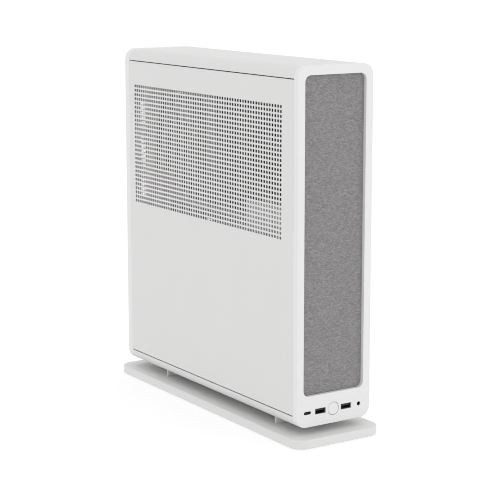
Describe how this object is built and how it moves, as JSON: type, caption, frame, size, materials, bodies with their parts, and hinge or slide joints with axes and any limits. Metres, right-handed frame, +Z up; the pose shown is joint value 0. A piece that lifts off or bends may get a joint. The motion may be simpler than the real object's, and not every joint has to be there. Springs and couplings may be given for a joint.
{
  "type": "desktop computer tower",
  "caption": "Slim upright desktop computer: perforated lift-off side panels, woven fabric front, front sockets and a power button, on a flat base plate with two cross legs.",
  "frame": {"origin": "middle of the base plate's underside, where its pads stand on the desk", "axes": "+Z up, the front with the fabric faces -Y, the motherboard side faces -X"},
  "size_m": [0.115, 0.398, 0.415],
  "materials": {
    "white_steel": "fine matt powder coat",
    "white_plastic": "satin moulded plastic",
    "grey_fabric": "heathered woven polyester",
    "black_plastic": "matt moulded plastic",
    "dark_rubber": "matt",
    "zinc_steel": "zinc plated",
    "black_steel": "fine matt powder coat",
    "bare_aluminium": "extruded, satin",
    "black_board": "solder mask",
    "green_board": "solder mask",
    "spring_steel": "drawn wire"
  },
  "bodies": {
    "chassis": {"base_plate": "white_steel", "base_pads": "dark_rubber", "stand_legs": "white_steel", "bottom_cover": "white_steel", "top_cover": "white_steel", "front_bezel": "white_plastic", "front_fabric": "grey_fabric", "fabric_carrier": "black_plastic", "rear_frame": "white_plastic", "chassis_floor": "white_steel", "chassis_roof": "white_steel", "chassis_front_wall": "white_steel", "chassis_rails": "white_steel", "panel_clips": "black_plastic", "mid_shelf": "white_steel", "board_tray": "white_steel", "rear_panel": "white_steel", "cooler_fan_frame": "black_plastic", "case_fan_frame": "black_plastic", "fan_bracket": "black_steel", "motherboard": "black_board", "board_standoffs": "zinc_steel", "machine_screws": "zinc_steel", "processor": "zinc_steel", "cooler_heatsink": "bare_aluminium", "memory_modules": "black_plastic", "board_heatsinks": "bare_aluminium", "storage_stick": "black_board", "io_shield": "zinc_steel", "display_ports": "zinc_steel", "rear_usb_ports": "zinc_steel", "network_port": "zinc_steel", "rear_audio_jacks": "black_plastic", "power_inlet": "black_plastic", "power_supply_case": "black_steel", "power_supply_grille": "black_steel", "power_supply_fan_frame": "black_plastic", "power_supply_bracket": "white_steel", "graphics_board": "black_board", "graphics_heatsink": "bare_aluminium", "graphics_shroud": "black_plastic", "graphics_bracket": "zinc_steel", "riser_card": "black_board", "storage_drive": "bare_aluminium", "front_io_board": "green_board", "usb_a_ports": "black_steel", "usb_c_port": "black_steel", "audio_jack": "black_plastic", "power_switch": "black_plastic", "button_spring": "spring_steel"},
    "left_panel": {"left_side_panel": "white_steel", "left_panel_studs": "zinc_steel"},
    "right_panel": {"right_side_panel": "white_steel", "right_panel_studs": "zinc_steel"},
    "button": {"power_button": "white_plastic"},
    "cooler_fan": {"cooler_fan_rotor": "black_plastic"},
    "case_fan": {"case_fan_rotor": "black_plastic"},
    "power_supply_fan": {"power_supply_fan_rotor": "black_plastic"},
    "graphics_fan_rear": {"graphics_fan_rear_rotor": "black_plastic"},
    "graphics_fan_front": {"graphics_fan_front_rotor": "black_plastic"}
  },
  "joints": [
    {"name": "left_panel_off", "type": "slide", "parent": "chassis", "child": "left_panel", "axis": [-1, 0, 0], "range_m": [0, 0.15]},
    {"name": "right_panel_off", "type": "slide", "parent": "chassis", "child": "right_panel", "axis": [1, 0, 0], "range_m": [0, 0.15]},
    {"name": "button_press", "type": "slide", "parent": "chassis", "child": "button", "axis": [0, 1, 0], "range_m": [0, 0.001], "stiffness_N_per_m": 400, "springref_m": -0.002, "deforming": ["button_spring"]},
    {"name": "cooler_fan_spin", "type": "hinge", "parent": "chassis", "child": "cooler_fan", "pos_m": [-0.026, 0.095, 0.315], "axis": [1, 0, 0], "continuous": true},
    {"name": "case_fan_spin", "type": "hinge", "parent": "chassis", "child": "case_fan", "pos_m": [0.028, -0.098, 0.118], "axis": [1, 0, 0], "continuous": true},
    {"name": "power_supply_fan_spin", "type": "hinge", "parent": "chassis", "child": "power_supply_fan", "pos_m": [-0.021, -0.112, 0.312], "axis": [1, 0, 0], "continuous": true},
    {"name": "graphics_fan_rear_spin", "type": "hinge", "parent": "chassis", "child": "graphics_fan_rear", "pos_m": [0.0255, 0.12, 0.105], "axis": [1, 0, 0], "continuous": true},
    {"name": "graphics_fan_front_spin", "type": "hinge", "parent": "chassis", "child": "graphics_fan_front", "pos_m": [0.0255, 0.028, 0.105], "axis": [1, 0, 0], "continuous": true}
  ]
}
